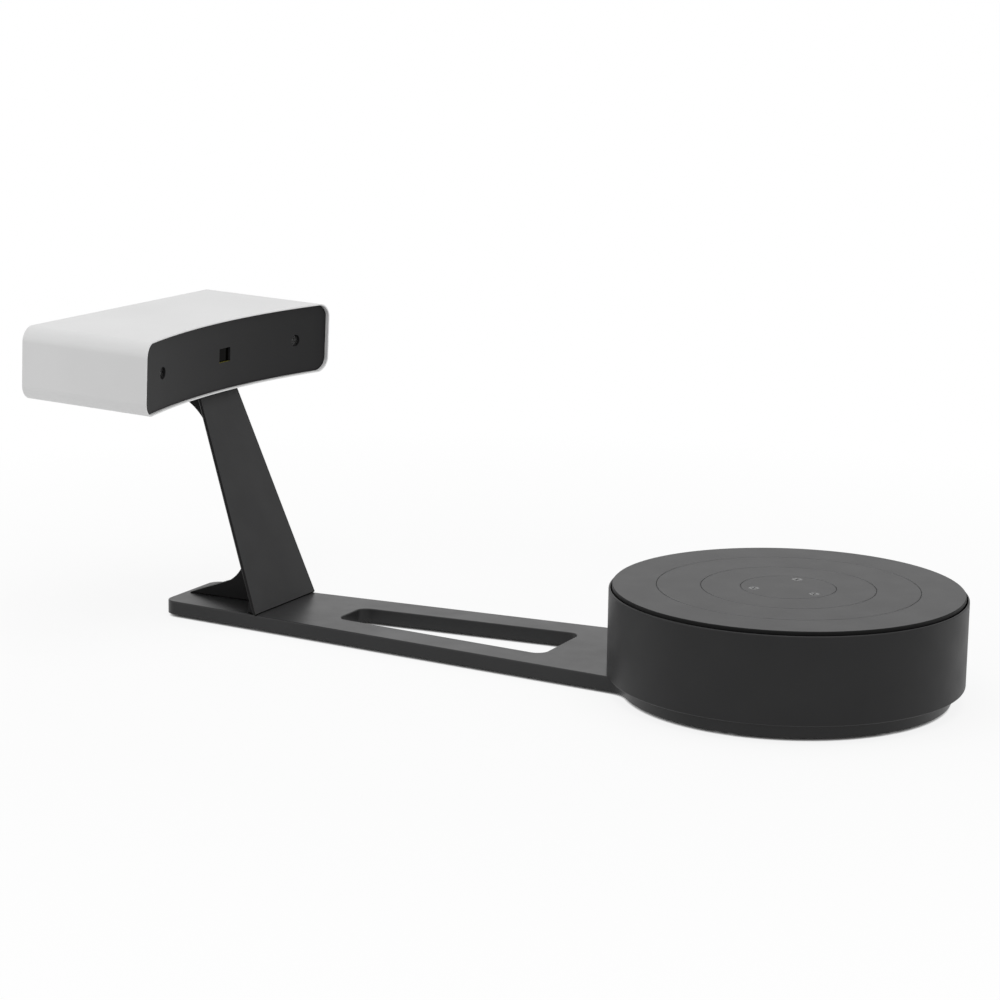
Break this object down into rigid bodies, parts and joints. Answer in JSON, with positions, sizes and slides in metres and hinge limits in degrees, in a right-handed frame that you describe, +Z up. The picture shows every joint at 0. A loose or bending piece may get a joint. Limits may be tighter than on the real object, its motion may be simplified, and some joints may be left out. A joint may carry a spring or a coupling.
{
  "type": "desktop 3d scanner",
  "caption": "Desktop 3d scanner with a wide hollow-fronted head on a leaning stand, a long slotted base plate and a motor-driven turntable.",
  "frame": {"origin": "middle of the whole machine's length and width, on the surface it stands on", "axes": "+X from the head towards the turntable, +Z up"},
  "size_m": [0.573, 0.216, 0.1936],
  "materials": {
    "plate_metal": "matt black anodised",
    "drum_metal": "matt black anodised",
    "platter_metal": "matt black anodised",
    "stand_metal": "satin black",
    "white_shell": "fine satin white",
    "dark_panel": "satin black",
    "black_plastic": "fine matt",
    "clear_pane": "clear, tinted",
    "lens_glass": "polished",
    "steel": "satin",
    "dark_steel": "black oxide",
    "plain_aluminium": "milled",
    "gear_plastic": "moulded",
    "brass": "turned",
    "board": "solder mask",
    "rubber": "matt",
    "cable_skin": "matt",
    "light_pipe": "frosted clear"
  },
  "bodies": {
    "machine": {"base_plate": "plate_metal", "bearing_balls": "steel", "bearing_housing": "plain_aluminium", "bearing_housing_screws": "steel", "bearing_outer_rings": "steel", "bench_screws": "steel", "button_switch": "board", "cable_cover": "black_plastic", "camera_windows": "clear_pane", "chassis_plate": "plain_aluminium", "chassis_posts": "plain_aluminium", "chassis_screws": "steel", "data_port": "steel", "fan_frame": "black_plastic", "fan_screws": "steel", "fascia_screws": "steel", "front_fascia": "dark_panel", "head_mounting_plate": "dark_steel", "head_screws": "dark_steel", "head_shell": "white_shell", "heat_sink": "plain_aluminium", "housing_screws": "dark_steel", "left_camera_board": "board", "left_camera_lens": "black_plastic", "link_cable": "cable_skin", "main_board": "board", "main_board_screws": "steel", "main_board_spacers": "brass", "motor_body": "dark_steel", "motor_screws": "steel", "optical_bench": "plain_aluminium", "post_screws": "steel", "power_jack": "black_plastic", "projector_engine": "black_plastic", "projector_lens": "lens_glass", "projector_window": "clear_pane", "rear_cover": "dark_panel", "rear_cover_screws": "dark_steel", "right_camera_board": "board", "right_camera_lens": "black_plastic", "rubber_feet": "rubber", "stand": "stand_metal", "stand_screws": "dark_steel", "status_light": "light_pipe", "turntable_board": "board", "turntable_board_screws": "steel", "turntable_board_spacers": "brass", "turntable_housing": "drum_metal"},
    "platter": {"platter": "platter_metal", "platter_screws": "dark_steel", "spindle": "steel", "spindle_nut": "steel", "drive_gear": "gear_plastic", "gear_screws": "steel", "bearing_inner_rings": "steel"},
    "motor_rotor": {"motor_shaft": "steel", "pinion": "brass"},
    "fan": {"fan_rotor": "black_plastic"},
    "button": {"power_button": "black_plastic"}
  },
  "joints": [
    {"name": "platter_spin", "type": "hinge", "parent": "machine", "child": "platter", "pos_m": [0.1815, 0, 0.0606], "axis": [0, 0, 1], "continuous": true},
    {"name": "motor_spin", "type": "hinge", "parent": "machine", "child": "motor_rotor", "pos_m": [0.2375, 0, 0.0506], "axis": [0, 0, 1], "continuous": true},
    {"name": "fan_spin", "type": "hinge", "parent": "machine", "child": "fan", "pos_m": [-0.27845, 0, 0.17045], "axis": [0.9994, 0, -0.0349], "continuous": true},
    {"name": "button_press", "type": "slide", "parent": "machine", "child": "button", "axis": [0.9994, 0, -0.0349], "range_m": [0, 0.0012], "stiffness_N_per_m": 600, "springref_m": -0.0008}
  ],
  "couplings": [
    {"joint": "motor_spin", "follows": "platter_spin", "ratio": -6}
  ]
}
